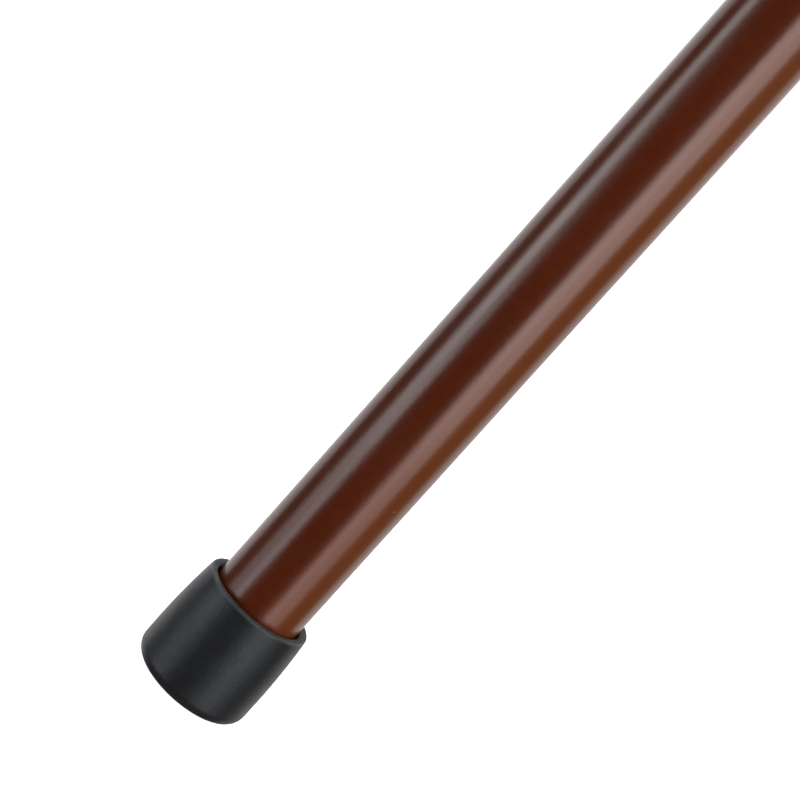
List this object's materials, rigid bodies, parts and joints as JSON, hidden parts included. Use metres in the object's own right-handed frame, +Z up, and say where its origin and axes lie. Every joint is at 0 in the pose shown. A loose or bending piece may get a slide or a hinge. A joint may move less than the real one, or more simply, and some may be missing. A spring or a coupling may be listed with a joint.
{
  "type": "underarm crutch",
  "caption": "Adjustable underarm crutch: brown lacquered tube leg on a black rubber ferrule, bowed side tubes, foam hand grip and curved underarm cushion.",
  "frame": {"origin": "centre of the ferrule's flat base, on the floor, with the crutch upright", "axes": "+Z up along the leg towards the underarm cushion; X from the left side tube to the right one, the wing nut being on +X; -Y is the side the snap button faces"},
  "size_m": [0.2232, 0.042, 1.2358],
  "materials": {
    "lacquered_tube": "satin",
    "ferrule_rubber": "matte",
    "black_plastic": "satin",
    "grip_foam": "matte",
    "cushion_foam": "matte",
    "zinc_steel": "satin",
    "spring_steel": "satin"
  },
  "bodies": {
    "leg": {"ferrule": "ferrule_rubber", "ferrule_washer": "zinc_steel", "leg_tube": "lacquered_tube", "leg_plug": "black_plastic", "button_spring": "spring_steel"},
    "button": {"snap_button": "zinc_steel"},
    "frame": {"centre_tube": "lacquered_tube", "tube_collar": "black_plastic", "centre_tube_cap": "black_plastic", "lower_yoke": "black_plastic", "upper_yoke": "black_plastic", "lower_yoke_bolt": "zinc_steel", "upper_yoke_bolt": "zinc_steel", "lower_yoke_nut": "zinc_steel", "upper_yoke_nut": "zinc_steel", "left_side_tube": "lacquered_tube", "right_side_tube": "lacquered_tube", "left_tube_plug": "black_plastic", "right_tube_plug": "black_plastic", "underarm_saddle": "black_plastic", "left_saddle_screw": "zinc_steel", "right_saddle_screw": "zinc_steel", "underarm_cushion": "cushion_foam"},
    "grip": {"grip_core": "black_plastic", "grip_foam": "grip_foam", "left_grip_saddle": "black_plastic", "right_grip_saddle": "black_plastic", "grip_bolt": "zinc_steel", "bolt_head_washer": "zinc_steel"},
    "nut_washer": {"nut_washer": "zinc_steel"},
    "wing_nut": {"wing_nut": "zinc_steel"}
  },
  "joints": [
    {"name": "button_press", "type": "slide", "parent": "leg", "child": "button", "axis": [0, 1, 0], "range_m": [0, 0.0045], "stiffness_N_per_m": 1500, "springref_m": -0.003, "deforming": ["button_spring"]},
    {"name": "height_adjust", "type": "slide", "parent": "leg", "child": "frame", "axis": [0, 0, 1], "range_m": [-0.0762, 0.0762]},
    {"name": "grip_height", "type": "slide", "parent": "frame", "child": "grip", "axis": [0, 0, 1], "range_m": [-0.0762, 0.0762]},
    {"name": "nut_travel", "type": "slide", "parent": "grip", "child": "nut_washer", "axis": [1, 0, 0], "range_m": [0, 0.008]},
    {"name": "wing_nut_spin", "type": "hinge", "parent": "nut_washer", "child": "wing_nut", "pos_m": [0.08, 0, 0.864], "axis": [1, 0, 0], "range_deg": [0, 2880]}
  ],
  "couplings": [
    {"joint": "nut_travel", "follows": "wing_nut_spin", "m_per_rad": 0.00015915}
  ]
}
